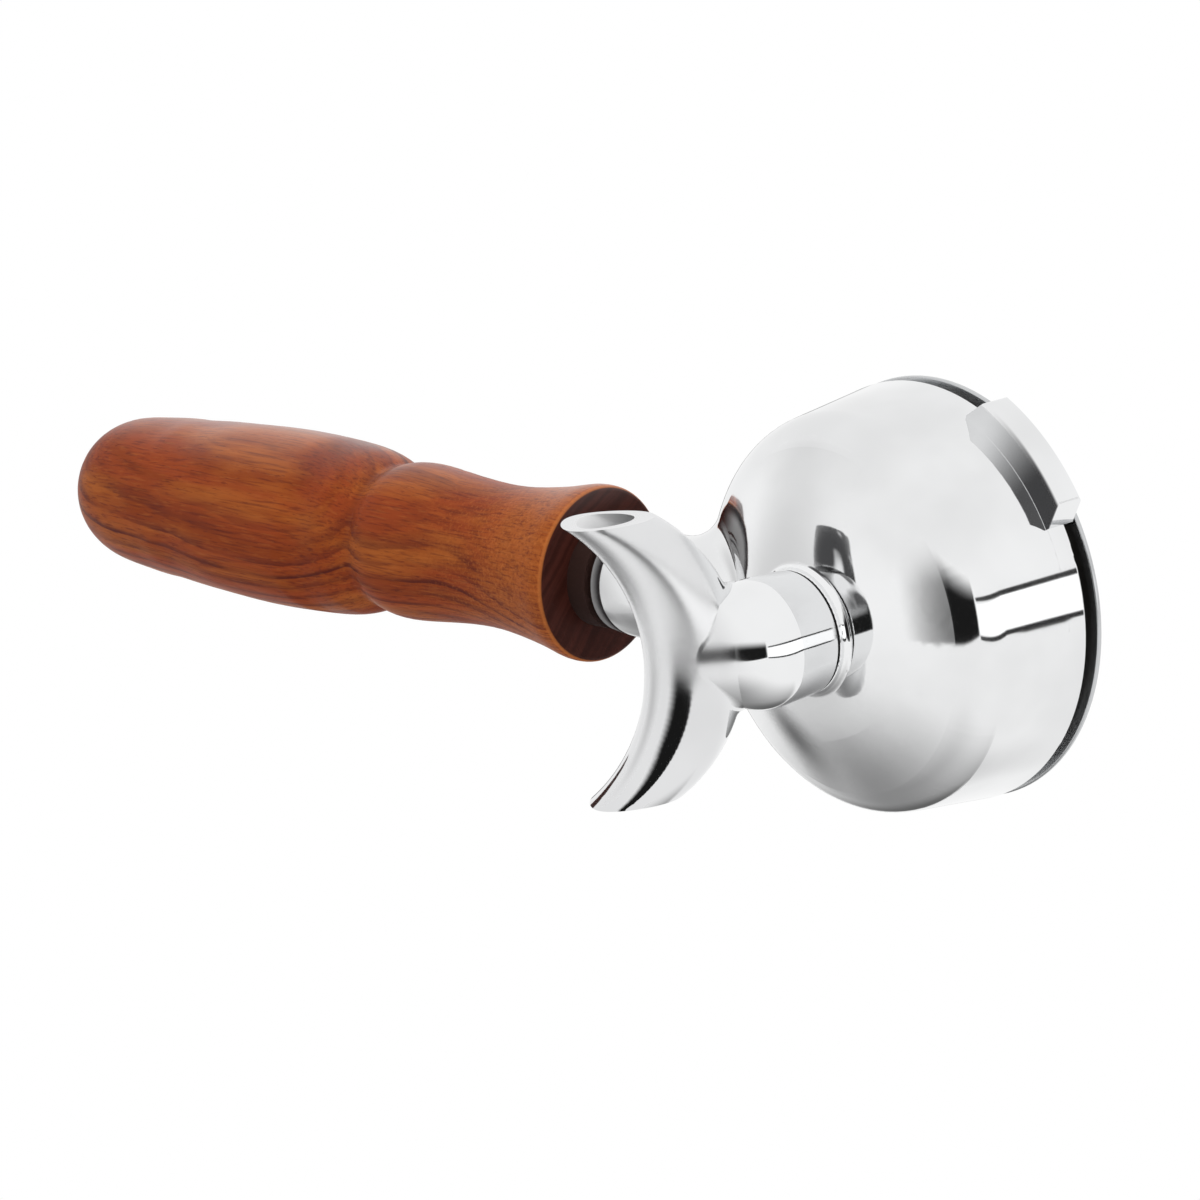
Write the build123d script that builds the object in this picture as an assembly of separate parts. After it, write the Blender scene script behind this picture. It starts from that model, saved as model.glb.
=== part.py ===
from build123d import *
import os
from math import atan, cos, degrees, hypot, radians, sin

# Espresso portafilter: a chromed head on a turned wooden handle, with a lift-out filter basket and a
# screwed-on twin spout. Millimetres. The origin is the centre of the bowl's rim, +Z leaves the basket's
# mouth, and the handle leaves the bowl towards +X, drooping a little.

# Bowl: a slightly tapered wall, a wide shoulder and a shallow domed base
rim_radius = 34.9
wall_taper = 0.12
wall_depth = 15.7
shoulder_radius = 8.5
base_slope = 27.0
base_centre_slope = 4.0
base_height = -28.1
bowl_bore_radius = 30.9
bowl_floor = -18.6
floor_fall = 1.8
floor_fillet = 4.0
edge_round = 0.4

# Stepped lip inside the rim, which carries the basket's flange above a groove to prise it out by
lip_radius = 33.4
lip_height = 2.4

# Bayonet ears
ear_radius = 39.0
ear_centre_angle = 133.0
ear_tip_span = 31.0
ear_root_span = 39.0
ear_bottom = -3.8
ear_top = 1.7
ear_round = 0.8
ear_root_depth = 2.5

# Short boss under the base, tapped G 3/8 for the spout; the stub and its hole are drawn at the thread's core
boss_radius = 10.16
boss_end = -29.6
boss_fillet = 1.1
seam_round = 0.15
thread_core_radius = 7.475
thread_crest_radius = 8.33
thread_clearance = 0.05
thread_end = -21.4
drain_radius = 5.5

# Handle axis; positions are measured along it from the bowl's axis
handle_height = -20.07
handle_droop = 6.64
arm_root = 28.0
arm_end = 48.5
arm_waist_radius = 8.9
arm_bulge_radius = 9.2
arm_tip_radius = 8.4
arm_swell_start = 37.0
arm_swell_middle = 42.0
arm_tip_round = 2.2
arm_fillet = 6.0
collar_face = 52.5
grip_end = 180.9

# Stud, insert and spacer that hold the handle
stud_radius = 6.0
stud_start = 34.0
stud_end = 76.0
stud_chamfer = 0.8
insert_radius = 8.0
insert_length = 26.0
spacer_radius = 8.7
spacer_clearance = 0.1

# Wooden grip, front part: position and radius from the collar's lip to the waist
collar_radius = 14.8
collar_lip = 0.6
waist_position = 102.0
waist_radius = 12.3
waist_fillet = 2.5
face_tangent = (1, 0.15)
lip_tangent = (0.1, 1)
waist_tangent = (-0.45, 1)
front_outline = [
    (53.6, 15.0),
    (58.0, 14.4),
    (64.0, 13.3),
    (73.0, 12.35),
    (82.0, 12.6),
    (90.0, 13.4),
    (96.0, 13.7),
]

# Wooden grip, rear part: position, half-width across its flats, and squareness (2 is a round section)
rear_outline = [
    (104.5, 13.5, 2.0),
    (108.0, 14.6, 2.05),
    (113.0, 15.3, 2.3),
    (119.0, 15.65, 2.5),
    (130.0, 15.8, 2.5),
    (141.0, 15.35, 2.45),
    (153.0, 14.6, 2.35),
    (163.0, 14.0, 2.2),
    (168.5, 13.4, 2.1),
    (173.2, 12.2, 2.0),
    (177.1, 9.8, 2.0),
    (179.4, 6.9, 2.0),
    (180.5, 4.0, 2.0),
    (grip_end, 1.0, 2.0),
]
flat_turn = 20.0
section_points = 16

# Filter basket
basket_bore_radius = 29.25
basket_wall = 0.7
basket_floor = -17.0
basket_corner = 3.0
flange_radius = 35.0
flange_thickness = 0.9
flange_round = 0.3
mouth_round = 0.75

# Retaining spring
spring_wire_radius = 0.7
spring_height = -6.0
spring_centre_radius = 30.75
spring_gap_angle = 24.0
spring_groove_clearance = 0.12

# Twin spout
seal_thickness = 0.5
seal_radius = 9.9
hub_radius = 10.5
dome_centre = -37.6
elbow_radius = 10.1
elbow_reach = 7.2
elbow_lean = 46.0
stub_end = -21.9
stub_bore_radius = 5.0
stub_bore_end = -44.0
spout_wall = 1.7
spout_turn = -3.0
spout_lean = 40.0
spout_pivot = -41.0
crest_distance = 7.8
crescent_radius = 26.0
horn_reach = 22.6
horn_half_width = 6.8
crest_half_thickness = 7.9
tip_half_thickness = 1.6
crescent_sweep = 76.0
channel_sweep = 67.5
crescent_sections = 9
crotch_fillet = 2.0

handle_frame = Plane(
    origin=(0, 0, handle_height),
    x_dir=(-sin(radians(handle_droop)), 0, -cos(radians(handle_droop))),
    z_dir=(cos(radians(handle_droop)), 0, -sin(radians(handle_droop))),
)
spout_frame = Plane(
    origin=(0, 0, spout_pivot),
    x_dir=(0, 1, 0),
    z_dir=(sin(radians(spout_lean)), 0, -cos(radians(spout_lean))),
)


def turned(face):
    """Revolve a flat face of (radius, height) about Z."""
    return revolve(Plane.XZ * face, Axis.Z)


def slope(angle):
    """Direction inwards and down at an angle below the horizontal."""
    return (-cos(radians(angle)), -sin(radians(angle)))


def polygon(*points):
    """A flat face through the given points."""
    return make_face(Polyline(*points, close=True))


def round_corners(face, radius, *corners):
    """Round the named corners of a flat face."""
    picked = [v for v in face.vertices() if any(abs(v.X - x) + abs(v.Y - y) < 0.01 for x, y in corners)]
    return fillet(picked, radius)


def tube(outer, inner, low, high):
    """A plain ring about Z between two heights."""
    return turned(polygon((inner, low), (outer, low), (outer, high), (inner, high)))


def bored(radius, low, high):
    """A plain round hole about Z between two heights."""
    return tube(radius, 0, low, high)


def bowl_and_boss():
    """Solid outside form of the bowl, its domed base and the boss under it."""
    wall_angle = 90 - degrees(atan(wall_taper))
    wall = Line((rim_radius, 0), (rim_radius - wall_taper * wall_depth, -wall_depth))
    shoulder = JernArc(wall @ 1, wall % 1, shoulder_radius, base_slope - wall_angle)
    base = Spline(
        shoulder @ 1,
        (boss_radius, base_height),
        tangents=[slope(base_slope), slope(base_centre_slope)],
    )
    boss = Polyline(base @ 1, (boss_radius, boss_end), (0, boss_end), (0, 0), (rim_radius, 0))
    face = make_face([wall, shoulder, base, boss])
    face = round_corners(face, boss_fillet, (boss_radius, base_height))
    face = round_corners(face, edge_round, (rim_radius, 0))
    face = round_corners(face, seam_round, (boss_radius, boss_end))
    return turned(face)


def arm():
    """Round arm with a domed root under the bowl, swelling slightly before its rounded end."""
    nose = CenterArc((0, arm_root), arm_waist_radius, 270, 90)
    shank = Line((arm_waist_radius, arm_root), (arm_waist_radius, arm_swell_start))
    swell = ThreePointArc(shank @ 1, (arm_bulge_radius, arm_swell_middle), (arm_tip_radius, arm_end))
    end = Polyline(swell @ 1, (0, arm_end), (0, arm_root - arm_waist_radius))
    face = round_corners(make_face([nose, shank, swell, end]), arm_tip_round, (arm_tip_radius, arm_end))
    return handle_frame.location * Rot(Z=180) * turned(face)


def ear(turn):
    """One bayonet ear: a block proud of the wall with sloping ends."""
    def at(radius, angle):
        return (radius * cos(radians(angle)), radius * sin(radians(angle)))
    tip = ear_tip_span / 2
    root = ear_root_span / 2
    inside = rim_radius - ear_root_depth
    edge = [
        ThreePointArc(at(ear_radius, -tip), at(ear_radius, 0), at(ear_radius, tip)),
        Line(at(ear_radius, tip), at(rim_radius, root)),
        Line(at(rim_radius, root), at(inside, root)),
        ThreePointArc(at(inside, root), at(inside, 0), at(inside, -root)),
        Line(at(inside, -root), at(rim_radius, -root)),
        Line(at(rim_radius, -root), at(ear_radius, -tip)),
    ]
    block = extrude(Plane((0, 0, ear_bottom)) * make_face(edge), ear_top - ear_bottom)
    outer = [e for e in block.edges() if all(hypot(v.X, v.Y) > rim_radius + 1 for v in e.vertices())]
    return Rot(Z=turn) * fillet(outer, ear_round)


def body_cavity():
    """Everything hollow in the body: basket well, spring groove, drain and the tapped hole."""
    mouth = lip_height + 1
    lowest = bowl_floor - floor_fall
    well = polygon((0, lowest), (bowl_bore_radius, bowl_floor), (bowl_bore_radius, mouth), (0, mouth))
    well = round_corners(well, floor_fillet, (bowl_bore_radius, bowl_floor))
    groove = Pos(spring_centre_radius, spring_height) * Circle(spring_wire_radius + spring_groove_clearance)
    drain = bored(drain_radius, thread_end - 1, bowl_floor + 1)
    tapping = bored(thread_core_radius + thread_clearance, boss_end - 1, thread_end)
    return turned(well) + turned(groove) + drain + tapping


def portafilter_body():
    """The one-piece casting: bowl, stepped lip, ears, boss and handle arm."""
    body = Rot(Z=180) * bowl_and_boss() + arm()
    joint = [e for e in body.edges().filter_by(GeomType.BSPLINE) if 0 < e.center().X < rim_radius]
    body = fillet(joint, arm_fillet)
    lip = tube(lip_radius, bowl_bore_radius - 2, -1, lip_height)
    body = body + lip + ear(ear_centre_angle) + ear(ear_centre_angle + 180)
    stud_hole = handle_frame.location * bored(stud_radius + thread_clearance, stud_start, arm_end + 1)
    return body - body_cavity() - stud_hole


def filter_basket():
    """Pressed cup with a turned-out flange and a rounded mouth."""
    outer = basket_bore_radius + basket_wall
    bottom = basket_floor - basket_wall
    top = lip_height + flange_thickness
    cup = polygon(
        (0, bottom),
        (outer, bottom),
        (outer, lip_height),
        (flange_radius, lip_height),
        (flange_radius, top),
        (0, top),
    )
    cup = round_corners(cup, basket_corner + basket_wall, (outer, bottom))
    cup = round_corners(cup, flange_round, (flange_radius, lip_height), (flange_radius, top))
    bore = polygon((0, basket_floor), (basket_bore_radius, basket_floor), (basket_bore_radius, top), (0, top))
    bore = round_corners(bore, basket_corner, (basket_bore_radius, basket_floor))
    shell = turned(cup) - turned(bore)
    circles = shell.edges().filter_by(GeomType.CIRCLE).filter_by_position(Axis.Z, top - 0.01, top + 0.01)
    return fillet([e for e in circles if abs(e.radius - basket_bore_radius) < 0.01], mouth_round)


def basket_spring():
    """Open wire ring that sits in the bowl's groove and grips the basket."""
    wire = Plane.XZ * Pos(spring_centre_radius, spring_height) * Circle(spring_wire_radius)
    return Rot(Z=spring_gap_angle / 2) * revolve(wire, Axis.Z, 360 - spring_gap_angle)


def hub():
    """Turned hub of the spout: threaded stub, slightly flared barrel and domed end."""
    top = boss_end - seal_thickness
    side = Polyline(
        (0, dome_centre - hub_radius),
        (0, stub_end),
        (thread_core_radius, stub_end),
        (thread_core_radius, top),
        (boss_radius, top),
        (hub_radius, dome_centre),
    )
    dome = CenterArc((0, dome_centre), hub_radius, 270, 90)
    face = make_face([side, dome])
    return turned(round_corners(face, seam_round, (boss_radius, top)))


def elbow():
    """Blunt round stem that carries the hub's dome on into the crest of the crescent."""
    lean = radians(elbow_lean)
    place = Plane(origin=(0, 0, dome_centre), x_dir=(0, 1, 0), z_dir=(sin(lean), 0, -cos(lean)))
    side = Polyline((0, elbow_reach + elbow_radius), (0, 0), (elbow_radius, 0), (elbow_radius, elbow_reach))
    end = CenterArc((0, elbow_reach), elbow_radius, 0, 90)
    return place.location * turned(make_face([side, end]))


def crescent(sweep, inset):
    """Curved tube of elliptical section that makes both horns, thinner towards its tips."""
    sections = []
    for i in range(crescent_sections):
        turn = sweep * (2 * i / (crescent_sections - 1) - 1)
        drop = crest_distance + crescent_radius * (1 - cos(radians(turn)))
        centre = (crescent_radius * sin(radians(turn)), 0, drop)
        thinning = (crest_half_thickness - tip_half_thickness) * (turn / crescent_sweep) ** 2
        place = Plane(origin=centre, x_dir=(0, 1, 0), z_dir=(cos(radians(turn)), 0, sin(radians(turn))))
        sections.append(place * Ellipse(horn_half_width - inset, crest_half_thickness - thinning - inset))
    return spout_frame.location * loft(sections)


def twin_spout():
    """Hub and two horns in one casting, open from the threaded stub to both mouths."""
    horns = crescent(crescent_sweep, 0) & Box(80, 2 * horn_reach, 200)
    barrel = hub() + elbow()
    spout = barrel + horns
    spout = fillet(new_edges(barrel, horns, combined=spout), crotch_fillet)
    channel = crescent(channel_sweep, spout_wall) + bored(stub_bore_radius, stub_bore_end, stub_end + 1)
    return Rot(Z=spout_turn) * (spout - channel)


def spout_seal():
    """Flat sealing ring between the boss and the spout's shoulder."""
    return tube(seal_radius, thread_crest_radius + thread_clearance, boss_end - seal_thickness, boss_end)


def handle_stud():
    """Stud screwed into the arm and on into the grip's insert."""
    stud = extrude(Circle(stud_radius), stud_end - stud_start)
    stud = chamfer(stud.edges().filter_by(GeomType.CIRCLE), stud_chamfer)
    return handle_frame.location * Pos(0, 0, stud_start) * stud


def handle_spacer():
    """Black ring between the arm and the collar."""
    ring = tube(spacer_radius, stud_radius + spacer_clearance, arm_end, collar_face)
    return handle_frame.location * ring


def handle_insert():
    """Tapped bush let into the grip."""
    bush = tube(insert_radius, stud_radius + thread_clearance, collar_face, collar_face + insert_length)
    return handle_frame.location * bush


def grip_front():
    """Turned collar, neck and front swell, up to the waist."""
    points = [(radius, position) for position, radius in front_outline]
    waist = (waist_radius, waist_position)
    lip_start = (collar_radius - collar_lip, collar_face)
    side = Spline(*points, waist, tangents=[lip_tangent, waist_tangent])
    lip = Spline(lip_start, points[0], tangents=[face_tangent, lip_tangent])
    rest = Polyline(waist, (0, waist_position), (0, collar_face), lip_start)
    return turned(make_face([lip, side, rest]))


def soft_square(half_width, squareness):
    """Closed section with four soft flats; a squareness of 2 is a circle."""
    if squareness == 2:
        return Circle(half_width)
    points = []
    for i in range(section_points):
        turn = radians(360 * i / section_points)
        reach = half_width / (abs(cos(turn)) ** squareness + abs(sin(turn)) ** squareness) ** (1 / squareness)
        points.append((reach * cos(turn), reach * sin(turn)))
    return make_face(Spline(*points, periodic=True))


def grip_rear():
    """Rear lobe, round at the waist and the end, with four soft flats between."""
    sections = [Pos(0, 0, waist_position) * Circle(waist_radius)]
    for position, half_width, squareness in rear_outline:
        sections.append(Pos(0, 0, position) * soft_square(half_width, squareness))
    return Rot(Z=flat_turn) * loft(sections)


def handle_grip():
    """Wooden grip with the hole for its insert and stud."""
    grip = grip_front() + grip_rear()
    waist = [e for e in grip.edges() if abs(e.center().Z - waist_position) < 0.01]
    grip = fillet(waist, waist_fillet)
    hole = bored(insert_radius, collar_face - 1, collar_face + insert_length)
    return handle_frame.location * (grip - hole)


nodes = {
    "portafilter_body": portafilter_body,
    "filter_basket": filter_basket,
    "basket_spring": basket_spring,
    "twin_spout": twin_spout,
    "spout_seal": spout_seal,
    "handle_grip": handle_grip,
    "handle_stud": handle_stud,
    "handle_insert": handle_insert,
    "handle_spacer": handle_spacer,
}

if __name__ == "__main__":
    os.makedirs("parts", exist_ok=True)
    for name, make in nodes.items():
        export_step(make(), os.path.join("parts", name + ".step"))
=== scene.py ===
import math

import bmesh
import bpy
from bpy.props import FloatProperty, FloatVectorProperty, PointerProperty
from mathutils import Matrix, Vector


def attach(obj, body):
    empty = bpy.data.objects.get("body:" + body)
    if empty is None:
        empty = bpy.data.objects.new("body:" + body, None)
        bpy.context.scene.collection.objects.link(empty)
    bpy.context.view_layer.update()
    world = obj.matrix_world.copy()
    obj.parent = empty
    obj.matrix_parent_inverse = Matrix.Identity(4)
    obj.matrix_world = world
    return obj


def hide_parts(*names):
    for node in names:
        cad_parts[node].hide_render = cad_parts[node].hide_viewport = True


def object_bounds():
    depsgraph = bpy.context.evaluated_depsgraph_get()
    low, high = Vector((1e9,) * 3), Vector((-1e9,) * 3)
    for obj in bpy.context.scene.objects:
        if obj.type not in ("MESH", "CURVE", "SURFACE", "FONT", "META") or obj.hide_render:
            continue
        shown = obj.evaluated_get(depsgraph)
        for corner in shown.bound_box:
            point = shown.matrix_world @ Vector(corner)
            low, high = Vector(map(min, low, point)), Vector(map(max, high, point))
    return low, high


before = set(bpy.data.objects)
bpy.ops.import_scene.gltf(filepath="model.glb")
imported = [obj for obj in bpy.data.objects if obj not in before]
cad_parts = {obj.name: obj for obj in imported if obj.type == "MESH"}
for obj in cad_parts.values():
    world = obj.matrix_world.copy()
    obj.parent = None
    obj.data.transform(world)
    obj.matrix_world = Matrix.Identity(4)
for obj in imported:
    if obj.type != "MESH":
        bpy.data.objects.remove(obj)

bl_info = {
    "name": "Portafilter",
    "version": (1, 0, 0),
    "blender": (4, 5, 0),
    "location": "View3D > Sidebar > Portafilter",
    "description": "Finishes an espresso portafilter and sets it in a white studio",
    "category": "Object",
}

CAD_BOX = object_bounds()
MM = 0.001

# Lengths from here to the settings are in millimetres, and angles in degrees

# The handle's own frame: its axis leaves the bowl's axis at this height and droops by this angle
HANDLE_HEIGHT = -20.07
HANDLE_DROOP = 6.64

# Along the handle from the bowl's axis: the cut end of the wood, and the dent behind the waist
COLLAR_FACE = 52.6
DENT = (107.0, 118.0)

# The wood's layers: their skew against the handle's own frame, and how far they are shifted
LAYER_SKEW = 39.0
LAYER_SHIFT = -2.9

# The spout's crescent: where its plane leaves the bowl's axis, how it leans and turns, and how far down
# that plane the centre of its arc lies
CRESCENT_PIVOT = -41.0
CRESCENT_LEAN = -40.0
CRESCENT_TURN = -3.0
CRESCENT_CENTRE = 33.8

# The channel in the crescent: its arc's radius and half sweep, half its width, and half its height at the
# middle with how much that loses towards the mouths
CHANNEL_RADIUS = 26.0
CHANNEL_SWEEP = 76.0
CHANNEL_HALF_WIDTH = 5.1
CHANNEL_HALF_HEIGHT = 6.2
CHANNEL_THINNING = 6.3

# The groove under the basket's flange, between two radii, which is darkened as painted shade
GROOVE_INNER = 32.5
GROOVE_OUTER = 34.2

# The undersides of the ears: just outside this radius, between two heights, and the angles round the
# bowl's axis over which the first ear gets a painted dark reflection. The second ear is half a turn on.
EAR_ROOT = 34.5
EAR_TOP = -3.3
EAR_BOTTOM = -11.5
EAR_START = 119.0
EAR_END = 141.0

# The basket's cup: its floor's top, sheet, bore, corner and the edge of the flat floor, then its flange
CUP_FLOOR = -17.0
CUP_SHEET = 0.7
CUP_BORE = 29.25
CUP_CORNER = 3.0
CUP_EDGE = 26.0
CUP_STEPS = 128
HOLE_STEPS = 8
FLANGE_RADIUS = 35.0
FLANGE_TOP = 3.3
FLANGE_THICKNESS = 0.9
FLANGE_ROUND = 0.3
MOUTH_ROUND = 0.75

# The spout's thread: core, crest and its flat, pitch, where it starts on the stub, its turns, and the
# part of a turn over which each end rises
THREAD_CORE = 7.3
THREAD_CREST = 8.33
THREAD_FLAT = 0.2
THREAD_PITCH = 1.337
THREAD_FOOT = 0.9 * THREAD_PITCH
THREAD_START = -29.4
THREAD_TURNS = 5
THREAD_RISE = 1 / 3
THREAD_STEPS = 48

# How far the spout comes down as it is unscrewed, which the floor leaves free, and a gap beyond that
SPOUT_TRAVEL = 8.03
FLOOR_GAP = 0.2


# Sizes and colours -----------------------------------------------------------------------------------


class MetalSettings(bpy.types.PropertyGroup):
    """Chrome, steel and brass."""

    chrome: FloatVectorProperty(
        name="Chrome",
        description="Colour of the polished chrome plate",
        subtype="COLOR",
        min=0.0,
        max=1.0,
        default=(0.88, 0.885, 0.89),
    )
    chrome_roughness: FloatProperty(
        name="Chrome roughness",
        description="Roughness of the polished chrome plate",
        min=0.0,
        max=1.0,
        default=0.05,
    )
    steel: FloatVectorProperty(
        name="Steel",
        description="Colour of the basket's stainless steel",
        subtype="COLOR",
        min=0.0,
        max=1.0,
        default=(0.64, 0.65, 0.66),
    )
    brass: FloatVectorProperty(
        name="Brass",
        description="Colour of the insert in the grip",
        subtype="COLOR",
        min=0.0,
        max=1.0,
        default=(0.72, 0.5, 0.22),
    )


class BasketSettings(bpy.types.PropertyGroup):
    """Holes in the basket's floor."""

    hole_spacing: FloatProperty(
        name="Hole spacing",
        description="From the middle of one hole to the next",
        unit="LENGTH",
        min=0.5 * MM,
        default=1.9 * MM,
    )
    hole_radius: FloatProperty(
        name="Hole radius",
        description="Radius of each hole",
        unit="LENGTH",
        min=0.1 * MM,
        default=0.35 * MM,
    )
    field_radius: FloatProperty(
        name="Field radius",
        description="Radius of the circle that holds the middles of the holes",
        unit="LENGTH",
        max=(CUP_EDGE - 1.0) * MM,
        default=23.5 * MM,
    )


class WoodSettings(bpy.types.PropertyGroup):
    """Oiled and polished rosewood."""

    light: FloatVectorProperty(
        name="Light wood",
        description="Colour of the orange wood between the dark lines",
        subtype="COLOR",
        min=0.0,
        max=1.0,
        default=(0.45, 0.125, 0.025),
    )
    middle: FloatVectorProperty(
        name="Brown wood",
        description="Colour of most of the grip",
        subtype="COLOR",
        min=0.0,
        max=1.0,
        default=(0.265, 0.05, 0.012),
    )
    red: FloatVectorProperty(
        name="Red wood",
        description="Colour of the redder bands",
        subtype="COLOR",
        min=0.0,
        max=1.0,
        default=(0.33, 0.06, 0.016),
    )
    dark: FloatVectorProperty(
        name="Dark wood",
        description="Colour of the dark growth lines",
        subtype="COLOR",
        min=0.0,
        max=1.0,
        default=(0.085, 0.014, 0.012),
    )
    glint: FloatVectorProperty(
        name="Glints",
        description="Colour of the golden glints in the grain",
        subtype="COLOR",
        min=0.0,
        max=1.0,
        default=(0.56, 0.175, 0.045),
    )
    end_grain: FloatVectorProperty(
        name="End grain",
        description="Colour of the cut across the grain at the collar",
        subtype="COLOR",
        min=0.0,
        max=1.0,
        default=(0.04, 0.011, 0.008),
    )
    # Painted reflection: the wood takes this colour only where the plate mirrors it
    mirrored: FloatVectorProperty(
        name="Mirrored wood",
        description="Colour that the polished plate gives back from the underside of the grip",
        subtype="COLOR",
        min=0.0,
        max=1.0,
        default=(0.03, 0.03, 0.032),
    )


class StageSettings(bpy.types.PropertyGroup):
    """Camera, floor and light."""

    camera_target: FloatVectorProperty(
        name="Camera target",
        description="Point that the camera looks at",
        subtype="XYZ",
        unit="LENGTH",
        default=(0.0618, -0.0077, -0.0194),
    )
    camera_distance: FloatProperty(
        name="Camera distance",
        description="From the camera to the point that it looks at",
        unit="LENGTH",
        min=0.1,
        default=0.767,
    )
    camera_azimuth: FloatProperty(
        name="Camera azimuth",
        description="Turn of the camera about the bowl's axis, from the handle's side towards +Y",
        subtype="ANGLE",
        default=math.radians(160.331),
    )
    camera_elevation: FloatProperty(
        name="Camera elevation",
        description="Height of the camera over the horizon, which is negative below it",
        subtype="ANGLE",
        default=math.radians(-37.119),
    )
    camera_roll: FloatProperty(
        name="Camera roll",
        description="Turn of the camera about its own view",
        subtype="ANGLE",
        default=math.radians(73.857),
    )
    lens: FloatProperty(
        name="Lens",
        description="Focal length in millimetres on a 36 mm sensor",
        min=10.0,
        default=135.0,
    )
    room_light: FloatProperty(
        name="Room light",
        description="Strength of the light from all round",
        min=0.0,
        default=0.7,
    )
    floor: FloatVectorProperty(
        name="Floor",
        description="Colour of the floor",
        subtype="COLOR",
        min=0.0,
        max=1.0,
        default=(0.86, 0.86, 0.86),
    )


# Shader maths ----------------------------------------------------------------------------------------


class Value:
    """A number that varies over a surface: a shader socket that can be written in sums."""

    def __init__(self, nodes, socket):
        self.nodes = nodes
        self.socket = socket

    def __add__(self, other):
        return self.nodes.math("ADD", self, other)

    def __radd__(self, other):
        return self.nodes.math("ADD", other, self)

    def __sub__(self, other):
        return self.nodes.math("SUBTRACT", self, other)

    def __rsub__(self, other):
        return self.nodes.math("SUBTRACT", other, self)

    def __mul__(self, other):
        return self.nodes.math("MULTIPLY", self, other)

    def __rmul__(self, other):
        return self.nodes.math("MULTIPLY", other, self)

    def __truediv__(self, other):
        return self.nodes.math("DIVIDE", self, other)


class Nodes:
    """The nodes of one material or world."""

    def __init__(self, tree):
        self.tree = tree

    def add(self, kind, settings=None, inputs=None, output=0):
        """Adds a node: its settings first, then the numbers or links of its sockets."""
        node = self.tree.nodes.new(kind)
        for name, setting in (settings or {}).items():
            setattr(node, name, setting)
        for name, given in (inputs or {}).items():
            self.feed(node.inputs[name], given)
        return Value(self, node.outputs[output])

    def feed(self, socket, given):
        if isinstance(given, Value):
            self.tree.links.new(given.socket, socket)
        else:
            socket.default_value = given

    def math(self, operation, *terms):
        return self.add("ShaderNodeMath", {"operation": operation}, dict(enumerate(terms)))

    def larger(self, first, second):
        return self.math("MAXIMUM", first, second)

    def hypot(self, first, second):
        """The long side of a right triangle with these two short sides."""
        return self.math("SQRT", first * first + second * second)

    def smooth(self, low, high, value):
        """0 at low and 1 at high, with a soft step between. A falling step has low over high."""
        settings = {"interpolation_type": "SMOOTHSTEP"}
        inputs = {"Value": value, "From Min": low, "From Max": high}
        return self.add("ShaderNodeMapRange", settings, inputs)

    def blend(self, mask, first, second):
        """The first colour where the mask is 0, and the second where it is 1."""
        # A Mix node shares its names between kinds of data: its colours are inputs 6 and 7 and output 2
        settings = {"data_type": "RGBA"}
        inputs = {0: mask, 6: colour(first), 7: colour(second)}
        return self.add("ShaderNodeMix", settings, inputs, output=2)

    def scaled(self, vector, scale):
        settings = {"operation": "MULTIPLY"}
        return self.add("ShaderNodeVectorMath", settings, {0: vector, 1: scale})

    def parts(self, vector):
        """The x, y and z of a vector."""
        split = self.tree.nodes.new("ShaderNodeSeparateXYZ")
        self.feed(split.inputs[0], vector)
        return [Value(self, out) for out in split.outputs]

    def noise(self, vector, scale, detail=2.0, roughness=0.5):
        inputs = {"Vector": vector, "Scale": scale, "Detail": detail, "Roughness": roughness}
        return self.add("ShaderNodeTexNoise", {"noise_dimensions": "3D"}, inputs)

    def noise_along(self, distance, scale, detail=2.0):
        """Noise that varies with one number alone."""
        inputs = {"W": distance, "Scale": scale, "Detail": detail}
        return self.add("ShaderNodeTexNoise", {"noise_dimensions": "1D"}, inputs)


def colour(given):
    """A colour setting as the four numbers that a socket takes."""
    return given if isinstance(given, Value) else (*given, 1.0)


def toned(shade, factor):
    """A colour made darker or lighter."""
    return [factor * part for part in shade]


SOCKETS = {
    "base_color": "Base Color",
    "metallic": "Metallic",
    "roughness": "Roughness",
    "specular": "Specular IOR Level",
    "coat_weight": "Coat Weight",
    "coat_roughness": "Coat Roughness",
}


class Finish(Nodes):
    """A material under construction, on one Principled shader."""

    def __init__(self, name):
        self.material = bpy.data.materials.new(name)
        self.material.use_nodes = True
        super().__init__(self.material.node_tree)
        self.shader = self.tree.nodes["Principled BSDF"]

    def place(self):
        """The place on the object, in metres."""
        return self.add("ShaderNodeTexCoord", output="Object")

    def place_from(self, height, lean, turn=0.0):
        """The place in millimetres, seen from a frame on the bowl's axis that leans and turns."""
        inputs = {
            "Vector": self.place(),
            "Location": (0.0, 0.0, height * MM),
            "Rotation": (0.0, math.radians(lean), math.radians(turn)),
            "Scale": (MM, MM, MM),
        }
        return self.add("ShaderNodeMapping", {"vector_type": "TEXTURE"}, inputs)

    def seen_in_polish(self):
        """1 where the surface is seen mirrored in another, and 0 where it is looked at."""
        return self.add("ShaderNodeLightPath", output="Is Glossy Ray")

    def set(self, **sockets):
        for name, given in sockets.items():
            self.feed(self.shader.inputs[SOCKETS[name]], given)

    def bump(self, height, strength, distance):
        inputs = {"Height": height, "Strength": strength, "Distance": distance}
        self.feed(self.shader.inputs["Normal"], self.add("ShaderNodeBump", {}, inputs))

    def show_only_where(self, mask, surface):
        """Shows a shader where the mask is 1 and nothing where it is 0."""
        clear = self.add("ShaderNodeBsdfTransparent")
        shown = self.add("ShaderNodeMixShader", {}, {0: mask, 1: clear, 2: surface})
        self.feed(self.tree.nodes["Material Output"].inputs["Surface"], shown)


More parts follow.
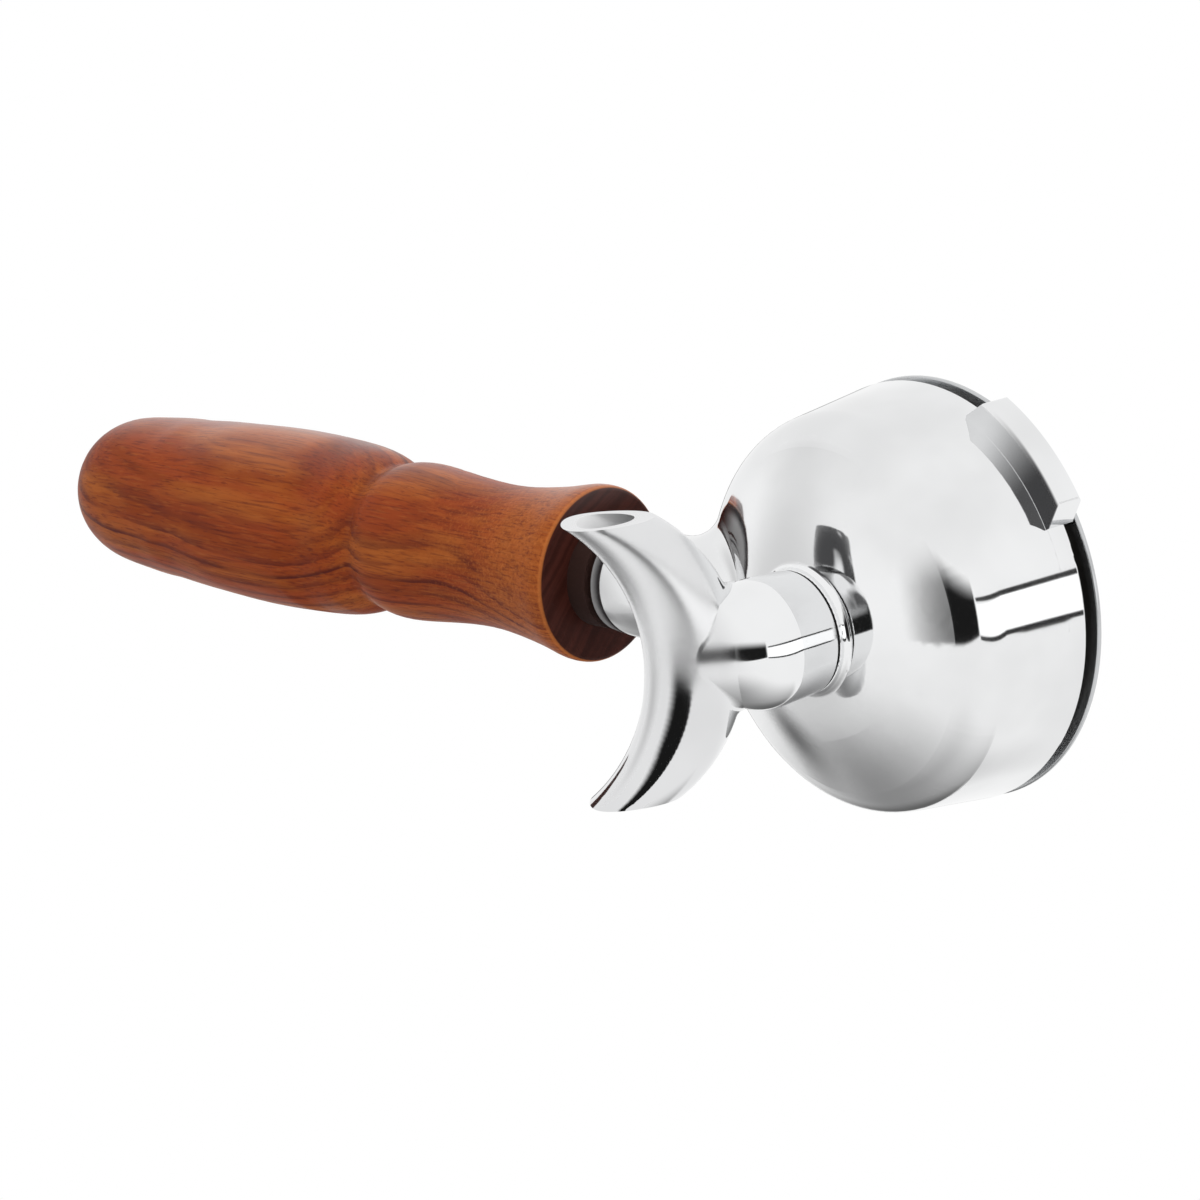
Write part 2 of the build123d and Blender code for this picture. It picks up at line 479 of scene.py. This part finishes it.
class Chrome(Finish):
    """Bright plate, with faint polishing haze and the soft waves of a buffed casting."""

    def __init__(self, name, settings):
        super().__init__(name)
        place = self.place()
        haze = self.noise(place, 90.0, detail=4.0)
        cloud = self.noise(place, 38.0, detail=3.0)
        smear = self.noise(self.scaled(place, (1.0, 1.0, 6.0)), 160.0)
        waves = self.noise(place, 45.0, detail=1.0)
        shade = self.smooth(0.3, 0.7, cloud) * 0.75 + 0.25 * haze
        self.plate = self.blend(shade, toned(settings.chrome, 0.84), settings.chrome)
        self.shine = settings.chrome_roughness * (0.7 + 0.45 * haze + 0.3 * smear)
        self.bump(waves, 0.04, 1.0 * MM)

    def dull(self, mask, shade, roughness):
        """Takes the polish off where the mask is 1 and gives the plate the shade there: a matt finish in
        the spout's channel, painted shade in the head's groove and a painted dark reflection under the
        ears.
        """
        self.plate = self.blend(mask, self.plate, shade)
        self.shine = self.shine * (1.0 - mask) + roughness * mask

    def plated(self, metallic=1.0):
        self.set(base_color=self.plate, roughness=self.shine, metallic=metallic)
        return self.material


# Finishes --------------------------------------------------------------------------------------------


def head_chrome(settings):
    """Plate of the head: painted shade in the groove under the flange, and a painted dark reflection
    under the ears.
    """
    finish = Chrome("head_chrome", settings)
    x, y, z = finish.parts(finish.place_from(0.0, 0.0))
    radius = finish.hypot(x, y)
    # Painted shade: the groove under the basket's flange is made near black
    inner = finish.smooth(GROOVE_INNER, GROOVE_INNER + 0.3, radius)
    outer = finish.smooth(GROOVE_OUTER, GROOVE_OUTER - 0.4, radius)
    groove = inner * outer * finish.smooth(0.0, 0.1, z)
    finish.dull(groove, (0.012, 0.011, 0.01), 0.4)

    # Painted dark reflection: the plate under each ear is darkened
    turn = finish.math("WRAP", finish.math("ARCTAN2", y, x), math.pi, 0.0)
    dark_reflection_sweep = finish.smooth(math.radians(EAR_START), math.radians(EAR_END), turn)
    under = finish.smooth(EAR_TOP, EAR_TOP - 0.4, z) * finish.smooth(EAR_BOTTOM, EAR_BOTTOM + 1.0, z)
    outside = finish.smooth(EAR_ROOT - 0.05, EAR_ROOT + 0.05, radius)
    finish.dull(dark_reflection_sweep * under * outside, (0.06, 0.06, 0.062), 0.12)
    return finish.plated()


def channel_inside(finish, crescent):
    """1 inside the spout's channel, an elliptical tube that thins towards both mouths."""
    sideways, along_arms, back = finish.parts(crescent)
    drop = CRESCENT_CENTRE + back
    sweep = finish.math("ARCTAN2", along_arms, drop) / math.radians(CHANNEL_SWEEP)
    half_height = CHANNEL_HALF_HEIGHT - CHANNEL_THINNING * sweep * sweep
    outward = (finish.hypot(along_arms, drop) - CHANNEL_RADIUS) / half_height
    return finish.smooth(1.1, 1.03, finish.hypot(outward, sideways / CHANNEL_HALF_WIDTH))


def spout_chrome(settings):
    """Plate of the spout, left as cast and matt inside its channel."""
    finish = Chrome("spout_chrome", settings)
    crescent = finish.place_from(CRESCENT_PIVOT, CRESCENT_LEAN, CRESCENT_TURN)
    inside = channel_inside(finish, crescent)
    finish.dull(inside, (0.86, 0.86, 0.86), 0.35)

    # The crescent is a little greyer than the hub, and its upper arm is rubbed to a satin by the cups
    along_arms = finish.parts(crescent)[1]
    height = finish.parts(finish.place_from(0.0, 0.0))[2]
    below_hub = finish.smooth(-45.0, -48.5, height)
    finish.shine = finish.shine + 0.2 * finish.smooth(-7.0, 1.0, along_arms) * below_hub
    finish.plate = finish.blend(0.4 * below_hub, finish.plate, (0.62, 0.62, 0.63))

    # Painted reflection: the upper arm turns near black in streaks only where it is seen mirrored, in the
    # bowl's polish and in the hub's
    streaks = finish.noise(finish.scaled(crescent, (1.0, 0.3, 1.0)), 0.16, detail=1.0)
    mirrored_dark_streaks = finish.smooth(2.0, 5.0, along_arms) * finish.smooth(0.36, 0.46, streaks)
    finish.plate = finish.blend(finish.seen_in_polish() * mirrored_dark_streaks, finish.plate, (0.07, 0.07, 0.072))
    return finish.plated(metallic=1.0 - 0.6 * inside)


def basket_steel(settings):
    """Drawn stainless steel: brushed round the axis, a little rougher than the chrome."""
    finish = Finish("basket_steel")
    x, y, z = finish.parts(finish.place_from(0.0, 0.0))
    rings = finish.noise_along(finish.hypot(x, y) + 0.7 * z, 3.0)
    cloud = finish.noise(finish.place(), 60.0, detail=3.0)
    base = finish.blend(rings, toned(settings.steel, 0.8), settings.steel)
    finish.set(base_color=base, metallic=1.0, roughness=0.16 + 0.1 * rings + 0.06 * cloud)
    finish.bump(rings, 0.02, 0.2 * MM)
    return finish.material


def spring_wire(settings):
    """Bare drawn wire, with fine lines."""
    finish = Finish("spring_wire")
    lines = finish.noise(finish.place(), 900.0, detail=3.0)
    base = finish.blend(lines, toned(settings.steel, 0.45), toned(settings.steel, 0.8))
    finish.set(base_color=base, metallic=1.0, roughness=0.25 + 0.2 * lines)
    return finish.material


def turned_metal(name, shade):
    """Lathe-cut metal, with fine tool lines and dull spots."""
    finish = Finish(name)
    along = finish.parts(finish.place_from(0.0, 0.0))[0]
    lines = finish.noise_along(along, 14.0, detail=3.0)
    spots = finish.noise(finish.place(), 220.0, detail=3.0)
    base = finish.blend(spots, toned(shade, 0.7), shade)
    finish.set(base_color=base, metallic=1.0, roughness=0.22 + 0.16 * lines + 0.1 * spots)
    finish.bump(lines, 0.1, 0.2 * MM)
    return finish.material


def moulded(name, shade, roughness):
    """Black rubber or plastic, with a fine moulded grain and paler wear."""
    finish = Finish(name)
    place = finish.place()
    grain = finish.noise(place, 1500.0, detail=3.0)
    wear = finish.noise(place, 120.0, detail=3.0)
    base = finish.blend(wear, shade, toned(shade, 1.9))
    finish.set(base_color=base, roughness=roughness + 0.15 * grain, specular=0.12)
    finish.bump(grain, 0.25, 0.1 * MM)
    return finish.material


# Growth lines in the grip, in millimetres: depth along the layers' normal, how far the dark fades out,
# and strength
GROWTH_LINES = (
    (13.2, 1.2, 0.35),
    (11.6, 1.8, 0.55),
    (9.4, 1.3, 0.75),
    (7.0, 1.0, 1.0),
    (4.6, 1.6, 0.6),
    (1.9, 1.1, 0.8),
    (-1.0, 1.5, 0.6),
    (-3.8, 1.0, 0.9),
    (-7.4, 1.6, 0.7),
    (-10.2, 1.2, 0.9),
    (-13.0, 1.4, 0.7),
)


class Rosewood(Finish):
    """Solid wood in layers, cut across by the turned shape, so that its lines bend over each swell."""

    def __init__(self, name, settings):
        super().__init__(name)
        self.settings = settings
        self.grip = self.place_from(HANDLE_HEIGHT, HANDLE_DROOP)
        self.along, self.across, self.up = self.parts(self.grip)
        skew = math.radians(LAYER_SKEW)
        self.width = math.sin(skew) * self.across + math.cos(skew) * self.up
        self.layer = self.layer_depth(math.cos(skew) * self.across - math.sin(skew) * self.up)
        self.bands = self.noise_along(self.layer, 0.5)
        self.fibres = self.along_grain(0.05, 1.1, detail=4.0, roughness=0.6)
        self.pore = self.smooth(0.38, 0.27, self.along_grain(0.12, 3.2))
        self.wood = self.smooth_wood()

    def along_grain(self, stretch, scale, detail=2.0, roughness=0.5):
        """Noise drawn out along the handle."""
        return self.noise(self.scaled(self.grip, (stretch, 1.0, 1.0)), scale, detail, roughness)

    def layer_depth(self, depth):
        """Depth in the layers, which arch a little, sway along the grain and turn at the collar."""
        arch = 0.008 * self.width * self.width
        sway = self.along_grain(0.4, 0.045, detail=1.0)
        ripple = self.along_grain(0.3, 0.3, detail=3.0)
        turn = self.smooth(84.0, 56.0, self.along)
        return depth + arch + 5.0 * sway + 0.9 * ripple + 4.0 * turn + LAYER_SHIFT

    def smooth_wood(self):
        """Wood without its lines: slow bands, orange flames, a pale neck and long fibres."""
        tones = self.settings
        flames = self.smooth(0.42, 0.7, self.along_grain(0.22, 0.17))
        flames = self.larger(flames, 0.8 * self.smooth(76.0, 62.0, self.along))
        threads = self.along_grain(0.035, 2.6, detail=3.0)
        wood = self.blend(self.smooth(0.35, 0.65, self.bands), tones.middle, tones.red)
        wood = self.blend(0.8 * flames, wood, tones.light)
        wood = self.blend(0.5 * self.smooth(0.45, 0.75, self.fibres), wood, tones.middle)
        return self.blend(0.5 * self.smooth(0.47, 0.7, threads), wood, tones.dark)

    def add_growth_lines(self):
        """Dark lines, sharp on one side and fading on the other, strong and weak along their length."""
        dark = 0.0
        for index, (centre, fade, strength) in enumerate(GROWTH_LINES):
            edge = self.smooth(centre - 0.25, centre, self.layer)
            tail = self.smooth(centre + fade, centre, self.layer)
            # Each line reads its own stretch of the noise
            wear = self.smooth(0.35, 0.6, self.noise_along(self.along + 37.0 * index, 0.035))
            dark = self.larger(dark, edge * tail * (strength * (0.25 + 0.75 * wear)))
        self.wood = self.blend(dark * (0.65 + 0.5 * self.fibres), self.wood, self.settings.dark)
        self.wood = self.blend(0.45 * self.pore, self.wood, self.settings.dark)

    def add_glints(self):
        """Golden glints, finer and rounder towards the collar, where the grain leaves the surface."""
        near_collar = self.smooth(92.0, 66.0, self.along)
        specks = self.noise(self.grip, 1.7, detail=3.0, roughness=0.7)
        speck = self.smooth(0.5, 0.68, specks) * near_collar
        glint = self.smooth(0.52, 0.76, self.along_grain(0.12, 1.9)) * (0.5 + 0.2 * near_collar)
        self.wood = self.blend(0.4 * self.larger(glint, speck), self.wood, self.settings.glint)
        pit = self.smooth(0.46, 0.34, specks) * near_collar
        self.wood = self.blend(0.35 * pit, self.wood, self.settings.dark)

    def add_collar_face(self):
        """The cut across the grain, which drinks the oil and turns dark, and a painted highlight along
        the edge round it.
        """
        tones = self.settings
        cut = self.smooth(COLLAR_FACE + 0.5, COLLAR_FACE, self.along)
        bands = self.smooth(0.35, 0.7, self.bands)
        cut_wood = self.blend(bands, tones.end_grain, toned(tones.end_grain, 1.7))
        self.wood = self.blend(cut, self.wood, cut_wood)
        # Painted highlight: a thin pale line along the collar's edge, in the glint colour
        lip_highlight = self.smooth(COLLAR_FACE, COLLAR_FACE + 0.2, self.along)
        lip_highlight = lip_highlight * self.smooth(COLLAR_FACE + 0.9, COLLAR_FACE + 0.4, self.along)
        self.wood = self.blend(0.6 * lip_highlight, self.wood, tones.glint)
        return cut

    def add_dent(self):
        """The shallow dent behind the waist, with painted shade on its upper side."""
        start, end = DENT
        dent = self.smooth(end, end - 5.5, self.along) * self.smooth(start, start + 5.0, self.along)
        painted_dent_shade = 0.4 * dent * self.smooth(-9.0, 4.0, self.width)
        self.wood = self.blend(painted_dent_shade, self.wood, self.settings.dark)
        return dent

    def grey_in_mirrors(self, cut):
        """Painted reflection: where the plate mirrors the underside of the wood, the wood turns a dull
        grey, paler near the arm.
        """
        axis_distance = self.hypot(self.across, self.up)
        near_arm = cut * self.smooth(14.0, 11.5, axis_distance)
        mirrored_grey = self.blend(near_arm, self.settings.mirrored, (0.5, 0.5, 0.5))
        underside = self.smooth(6.0, -2.0, self.up)
        self.wood = self.blend(0.85 * self.seen_in_polish() * underside, self.wood, mirrored_grey)


def rosewood(settings):
    """The grip's wood, oiled and polished on the side that catches the light."""
    finish = Rosewood("rosewood", settings)
    finish.add_growth_lines()
    finish.add_glints()
    cut = finish.add_collar_face()
    dent = finish.add_dent()
    finish.grey_in_mirrors(cut)
    finish.set(
        base_color=finish.wood,
        roughness=0.34 + 0.15 * finish.pore + 0.1 * finish.fibres,
        specular=0.05,
        coat_weight=0.8 * finish.smooth(10.0, 16.0, finish.across),
        coat_roughness=0.3,
    )
    finish.bump(0.12 * finish.fibres - 0.07 * finish.pore - 4.0 * dent, 1.0, 0.2 * MM)
    return finish.material


# Pieces ----------------------------------------------------------------------------------------------


def dress(node, material):
    """Gives a CAD node its finish."""
    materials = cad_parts[node].data.materials
    if not materials:
        raise RuntimeError(f"{node} has no material slot")
    for index in range(len(materials)):
        materials[index] = material


def mesh_data(mesh, name):
    """Turns a bmesh into the data of an object."""
    data = bpy.data.meshes.new(name)
    mesh.to_mesh(data)
    mesh.free()
    return data


def add_object(name, data):
    """An object in the scene, at the origin."""
    item = bpy.data.objects.new(name, data)
    bpy.context.scene.collection.objects.link(item)
    return item


def finished(mesh, name, material, sharp):
    """A piece from a bmesh: closed, smooth, with sharp edges over the given angle in degrees."""
    bmesh.ops.remove_doubles(mesh, verts=mesh.verts, dist=1e-6)
    bmesh.ops.recalc_face_normals(mesh, faces=mesh.faces)
    if mesh.calc_volume(signed=True) < 0.0:
        # The recalculation can turn a helix inside out
        bmesh.ops.reverse_faces(mesh, faces=mesh.faces)
    data = mesh_data(mesh, name)
    data.shade_smooth()
    data.set_sharp_from_angle(angle=math.radians(sharp))
    data.materials.append(material)
    return add_object(name, data)


def outline(mesh, points, closed=False):
    """Edges through points that are given in millimetres."""
    corners = [mesh.verts.new(Vector(point) * MM) for point in points]
    following = corners[1:] + corners[:1] if closed else corners[1:]
    return corners + [mesh.edges.new(pair) for pair in zip(corners, following)]


def arc(centre, radius, start, end, steps=6):
    """Points of an arc in the xz plane: the angles are in degrees."""
    turns = (math.radians(start + (end - start) * index / steps) for index in range(steps + 1))
    return [(centre[0] + radius * math.cos(t), 0.0, centre[1] + radius * math.sin(t)) for t in turns]


def basket_wall():
    """Half section of the drawn cup from the edge of its floor, up the wall and out to the flange."""
    corner = (CUP_BORE - CUP_CORNER, CUP_FLOOR + CUP_CORNER)
    rim = FLANGE_RADIUS - FLANGE_ROUND
    flange_bottom = FLANGE_TOP - FLANGE_THICKNESS
    return [
        (CUP_EDGE, 0.0, CUP_FLOOR),
        *arc(corner, CUP_CORNER, 270, 360),
        *arc((CUP_BORE + MOUTH_ROUND, FLANGE_TOP - MOUTH_ROUND), MOUTH_ROUND, 180, 90),
        *arc((rim, FLANGE_TOP - FLANGE_ROUND), FLANGE_ROUND, 90, 0, 4),
        *arc((rim, flange_bottom + FLANGE_ROUND), FLANGE_ROUND, 0, -90, 4),
        (CUP_BORE + CUP_SHEET, 0.0, flange_bottom),
        *arc(corner, CUP_CORNER + CUP_SHEET, 360, 270),
        (CUP_EDGE, 0.0, CUP_FLOOR - CUP_SHEET),
    ]


def hole_centres(spacing, limit):
    """Rows of holes, each shifted by half a space against the next, within a circle."""
    row_height = spacing * math.sqrt(0.75)
    count = int(limit / row_height) + 2
    for row in range(-count, count + 1):
        for column in range(-count, count + 1):
            x, y = (column + 0.5 * (row % 2)) * spacing, row * row_height
            if math.hypot(x, y) < limit:
                yield (x, y)


def add_circle(mesh, x, y, radius, steps):
    """The outline of a circle on the top of the basket's floor."""
    place = Matrix.Translation((x, y, CUP_FLOOR * MM))
    bmesh.ops.create_circle(mesh, segments=steps, radius=radius, matrix=place)


def make_basket_floor(mesh, settings):
    """A flat disc with its holes cut through, open at the edge where the wall's section joins it."""
    add_circle(mesh, 0.0, 0.0, CUP_EDGE * MM, CUP_STEPS)
    for x, y in hole_centres(settings.hole_spacing, settings.field_radius):
        add_circle(mesh, x, y, settings.hole_radius, HOLE_STEPS)
    filled = bmesh.ops.triangle_fill(mesh, edges=mesh.edges, use_beauty=False, normal=(0, 0, 1))["geom"]
    faces = [item for item in filled if isinstance(item, bmesh.types.BMFace)]
    raised = bmesh.ops.extrude_face_region(mesh, geom=faces, use_keep_orig=True)["geom"]
    lower = [item for item in raised if isinstance(item, bmesh.types.BMVert)]
    bmesh.ops.translate(mesh, verts=lower, vec=(0, 0, -CUP_SHEET * MM))

    # The extrusion also closes the disc's outer edge, halfway down the sheet, where the wall goes on
    near = 0.1 * MM
    halfway = (CUP_FLOOR - CUP_SHEET / 2) * MM
    edge_faces = [
        face for face in mesh.faces
        if all(vert.co.xy.length > CUP_EDGE * MM - near for vert in face.verts)
        and abs(face.calc_center_median().z - halfway) < near
    ]
    bmesh.ops.delete(mesh, geom=edge_faces, context="FACES")


def make_basket(material, settings):
    """The pressed cup with its flange, and its floor with rows of fine holes."""
    mesh = bmesh.new()
    make_basket_floor(mesh, settings)
    section = outline(mesh, basket_wall())
    bmesh.ops.spin(
        mesh, geom=section, cent=(0, 0, 0), axis=(0, 0, 1), dvec=(0, 0, 0),
        angle=math.tau, steps=CUP_STEPS, use_merge=True,
    )
    cup = finished(mesh, "basket_cup", material, 35)
    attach(cup, "basket")
    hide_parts("filter_basket")


def make_thread(material):
    """The ridge of the spout's thread, which stands on the stub and ends inside the boss."""
    mesh = bmesh.new()
    section = [
        (THREAD_CORE, 0.0, THREAD_START - THREAD_FOOT / 2),
        (THREAD_CREST, 0.0, THREAD_START - THREAD_FLAT / 2),
        (THREAD_CREST, 0.0, THREAD_START + THREAD_FLAT / 2),
        (THREAD_CORE, 0.0, THREAD_START + THREAD_FOOT / 2),
    ]
    bmesh.ops.spin(
        mesh, geom=outline(mesh, section, closed=True), cent=(0, 0, 0), axis=(0, 0, 1),
        dvec=(0, 0, THREAD_PITCH * MM / THREAD_STEPS),
        angle=math.tau * THREAD_TURNS, steps=THREAD_STEPS * THREAD_TURNS,
    )
    bmesh.ops.holes_fill(mesh, edges=mesh.edges, sides=len(section))

    # Both ends rise out of the core
    height = THREAD_CREST - THREAD_CORE
    crest = [vert for vert in mesh.verts if vert.co.xy.length > (THREAD_CORE + 0.1 * height) * MM]
    for vert in crest:
        turns = (vert.co.z / MM - THREAD_START) / THREAD_PITCH
        from_end = min(turns, THREAD_TURNS - turns)
        rise = max(0.0, min(1.0, from_end / THREAD_RISE))
        shrink = (THREAD_CORE + rise * height) / THREAD_CREST
        bmesh.ops.scale(mesh, verts=[vert], vec=(shrink, shrink, 1.0))
    thread = finished(mesh, "spout_thread", material, 30)
    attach(thread, "spout")


class PORTAFILTER_OT_head(bpy.types.Operator):
    """Polished chrome on the head: its bowl, ears and arm"""

    bl_idname = "portafilter.head"
    bl_label = "Head"

    def execute(self, context):
        dress("portafilter_body", head_chrome(context.scene.portafilter_metal))
        return {"FINISHED"}


class PORTAFILTER_OT_basket(bpy.types.Operator):
    """Steel basket with its fine holes, and the spring that holds it"""

    bl_idname = "portafilter.basket"
    bl_label = "Basket and spring"

    def execute(self, context):
        metal = context.scene.portafilter_metal
        make_basket(basket_steel(metal), context.scene.portafilter_basket)
        dress("basket_spring", spring_wire(metal))
        return {"FINISHED"}


class PORTAFILTER_OT_spout(bpy.types.Operator):
    """Chrome on the twin spout, and the thread on its stub"""

    bl_idname = "portafilter.spout"
    bl_label = "Spout"

    def execute(self, context):
        metal = context.scene.portafilter_metal
        dress("twin_spout", spout_chrome(metal))
        make_thread(turned_metal("thread_chrome", metal.chrome))
        return {"FINISHED"}


class PORTAFILTER_OT_grip(bpy.types.Operator):
    """Rosewood on the grip, with its steel stud and brass insert"""

    bl_idname = "portafilter.grip"
    bl_label = "Wooden grip"

    def execute(self, context):
        metal = context.scene.portafilter_metal
        dress("handle_grip", rosewood(context.scene.portafilter_wood))
        dress("handle_stud", turned_metal("stud_steel", metal.steel))
        dress("handle_insert", turned_metal("insert_brass", metal.brass))
        return {"FINISHED"}


class PORTAFILTER_OT_rings(bpy.types.Operator):
    """Rubber seal under the boss and plastic spacer behind the arm"""

    bl_idname = "portafilter.rings"
    bl_label = "Seal and spacer"

    def execute(self, context):
        dress("spout_seal", moulded("seal_rubber", (0.008, 0.008, 0.008), 0.5))
        dress("handle_spacer", moulded("spacer_plastic", (0.022, 0.010, 0.008), 0.6))
        return {"FINISHED"}


# Stage -----------------------------------------------------------------------------------------------

# From the middle of the object, in metres
CARD_DISTANCE = 1.5
LAMP_DISTANCE = 1.2
FLOOR_RADIUS = 2.0

# Boards round the object, which only its polish mirrors: azimuth from +X towards +Y, elevation, width and
# height in degrees, then how bright, and how softly the left, right, lower and upper edges fade
CARDS = {
    "window": (180.5, 8, 17, 70, 1.3, (0.05, 0.05, 0.05, 0.4)),
    "window_frame_left": (170.5, 13, 2.6, 80, 0.03, (0.2, 0.2, 0.1, 0.3)),
    "window_frame_right": (190, 12, 2.6, 78, 0.015, (0.2, 0.2, 0.1, 0.3)),
    "door": (174, -61, 34, 68, 0.012, (0.9, 0.12, 0.7, 0.1)),
    "far_board": (-19.7, 37.1, 24, 24, 0.12, (0.7, 0.7, 0.7, 0.7)),
    "grey_wall": (-78, -11.5, 104, 97, 0.3, (1.2, 0.8, 0.9, 0.2)),
    "dark_shelf": (-58, 20, 56, 34, 0.14, (0.9, 0.9, 1.5, 0.3)),
    "dark_spot": (-38, -10, 28, 30, 0.2, (1.0, 1.0, 1.0, 1.0)),
    "pale_ground": (-10, -40, 90, 50, 0.72, (1.0, 1.0, 1.0, 1.0)),
}

# Soft boxes: azimuth and elevation in degrees, side in metres and power in watts
LAMPS = {
    "key_lamp": (112, -6, 0.8, 5.0),
    "top_lamp": (60, 65, 1.0, 3.0),
}


def direction(azimuth, elevation):
    """A unit vector from angles in degrees."""
    a, e = math.radians(azimuth), math.radians(elevation)
    return Vector((math.cos(a) * math.cos(e), math.sin(a) * math.cos(e), math.sin(e)))


def object_centre():
    low, high = CAD_BOX
    return (low + high) / 2


def facing(target, away, distance, roll=0.0, size=(1.0, 1.0, 1.0)):
    """The place of a thing at a distance from a target that faces the target."""
    turn = away.to_track_quat("Z", "Y") @ Matrix.Rotation(roll, 3, "Z").to_quaternion()
    return Matrix.LocRotScale(target + away * distance, turn, Vector(size))


def card_material(name, grey, fades):
    """A board of one grey, whose edges fade out."""
    finish = Finish(name)
    x, y = finish.parts(finish.place())[:2]
    left, right, lower, upper = fades
    across = finish.smooth(0.0, left, 1.0 + x) * finish.smooth(0.0, right, 1.0 - x)
    inside = across * finish.smooth(0.0, lower, 1.0 + y) * finish.smooth(0.0, upper, 1.0 - y)
    shine = finish.add("ShaderNodeEmission", {}, {"Color": (grey, grey, grey, 1.0)})
    finish.show_only_where(inside, shine)
    finish.material.cycles.emission_sampling = "NONE"
    return finish.material


def make_card(name, azimuth, elevation, width, height, grey, fades):
    """A board that faces the object and is seen only in its reflections."""
    mesh = bmesh.new()
    bmesh.ops.create_grid(mesh, x_segments=1, y_segments=1, size=1.0)
    data = mesh_data(mesh, name)
    data.materials.append(card_material(name, grey, fades))
    card = add_object(name, data)
    half = [CARD_DISTANCE * math.tan(math.radians(angle / 2)) for angle in (width, height)]
    away = direction(azimuth, elevation)
    card.matrix_world = facing(object_centre(), away, CARD_DISTANCE, size=(*half, 1.0))
    for ray in ("camera", "diffuse", "transmission", "volume_scatter", "shadow"):
        setattr(card, "visible_" + ray, False)


def make_room(strength):
    """White all round to the camera and in reflections, and a plain soft light elsewhere."""
    world = bpy.data.worlds.new("white_tent")
    world.use_nodes = True
    bpy.context.scene.world = world
    nodes = Nodes(world.node_tree)
    camera, glossy, through = (
        nodes.add("ShaderNodeLightPath", output=name)
        for name in ("Is Camera Ray", "Is Glossy Ray", "Is Transmission Ray")
    )
    shown = nodes.larger(nodes.larger(camera, glossy), through)
    background = world.node_tree.nodes["Background"]
    background.inputs["Color"].default_value = (1.0, 1.0, 1.0, 1.0)
    nodes.feed(background.inputs["Strength"], strength + (1.0 - strength) * shown)


def floor_material(settings):
    """Pale and faintly speckled near the object, and gone at the edge and from below."""
    finish = Finish("pale_floor")
    x, y = finish.parts(finish.place())[:2]
    speckle = finish.noise(finish.place(), 400.0, detail=3.0)
    shade = finish.blend(speckle, toned(settings.floor, 0.97), settings.floor)
    finish.set(base_color=shade, roughness=0.9)
    camera = finish.add("ShaderNodeLightPath", output="Is Camera Ray")
    from_below = finish.add("ShaderNodeNewGeometry", output="Backfacing")
    near = finish.smooth(0.85 * FLOOR_RADIUS, 0.25 * FLOOR_RADIUS, finish.hypot(x, y))
    finish.show_only_where(camera * (1.0 - from_below) * near, Value(finish, finish.shader.outputs[0]))
    return finish.material


def make_floor(settings):
    """A pale floor under the unscrewed spout. Only the camera, and only from above, sees it."""
    mesh = bmesh.new()
    bmesh.ops.create_circle(mesh, cap_ends=True, segments=96, radius=FLOOR_RADIUS)
    data = mesh_data(mesh, "floor")
    data.materials.append(floor_material(settings))
    floor = add_object("floor", data)
    centre = object_centre()
    lowest = CAD_BOX[0].z
    floor.location = (centre.x, centre.y, lowest - (SPOUT_TRAVEL + FLOOR_GAP) * MM)


def make_lamp(name, azimuth, elevation, size, power):
    """A soft box that faces the object."""
    data = bpy.data.lights.new(name, "AREA")
    data.size = size
    data.energy = power
    lamp = add_object(name, data)
    lamp.matrix_world = facing(object_centre(), direction(azimuth, elevation), LAMP_DISTANCE)
    lamp.visible_glossy = False


def make_camera(settings):
    """The camera, below the part and beside it, so that the bowl and the spout are seen from under."""
    data = bpy.data.cameras.new("camera")
    data.lens = settings.lens
    data.sensor_width = 36.0
    data.clip_start = 0.01
    data.clip_end = 20.0
    camera = add_object("camera", data)
    away = direction(math.degrees(settings.camera_azimuth), math.degrees(settings.camera_elevation))
    target = Vector(settings.camera_target)
    camera.matrix_world = facing(target, away, settings.camera_distance, roll=settings.camera_roll)
    bpy.context.scene.camera = camera


class PORTAFILTER_OT_stage(bpy.types.Operator):
    """White room, pale floor, soft lamps, boards for the chrome to mirror, and the camera"""

    bl_idname = "portafilter.stage"
    bl_label = "Studio"

    def execute(self, context):
        settings = context.scene.portafilter_stage
        context.scene.view_settings.view_transform = "Standard"
        make_room(settings.room_light)
        make_floor(settings)
        for name, card in CARDS.items():
            make_card(name, *card)
        for name, lamp in LAMPS.items():
            make_lamp(name, *lamp)
        make_camera(settings)
        return {"FINISHED"}


# Panel and start -------------------------------------------------------------------------------------


class PORTAFILTER_PT_panel(bpy.types.Panel):
    """Lists the steps and their settings"""

    bl_idname = "PORTAFILTER_PT_panel"
    bl_label = "Portafilter"
    bl_space_type = "VIEW_3D"
    bl_region_type = "UI"
    bl_category = "Portafilter"

    def draw(self, context):
        for name in SETTINGS:
            group = getattr(context.scene, name)
            for setting in group.__annotations__:
                self.layout.prop(group, setting)
        for step in STEPS:
            self.layout.operator(step.bl_idname)


SETTINGS = {
    "portafilter_metal": MetalSettings,
    "portafilter_basket": BasketSettings,
    "portafilter_wood": WoodSettings,
    "portafilter_stage": StageSettings,
}
STEPS = (
    PORTAFILTER_OT_head,
    PORTAFILTER_OT_basket,
    PORTAFILTER_OT_spout,
    PORTAFILTER_OT_grip,
    PORTAFILTER_OT_rings,
    PORTAFILTER_OT_stage,
)
CLASSES = (*SETTINGS.values(), *STEPS, PORTAFILTER_PT_panel)


def register():
    for item in CLASSES:
        bpy.utils.register_class(item)
    for name, group in SETTINGS.items():
        setattr(bpy.types.Scene, name, PointerProperty(type=group))


def unregister():
    for name in SETTINGS:
        delattr(bpy.types.Scene, name)
    for item in reversed(CLASSES):
        bpy.utils.unregister_class(item)


def main():
    register()
    bpy.ops.portafilter.head()
    bpy.ops.portafilter.basket()
    bpy.ops.portafilter.spout()
    bpy.ops.portafilter.grip()
    bpy.ops.portafilter.rings()
    bpy.ops.portafilter.stage()


if __name__ == "__main__":
    main()
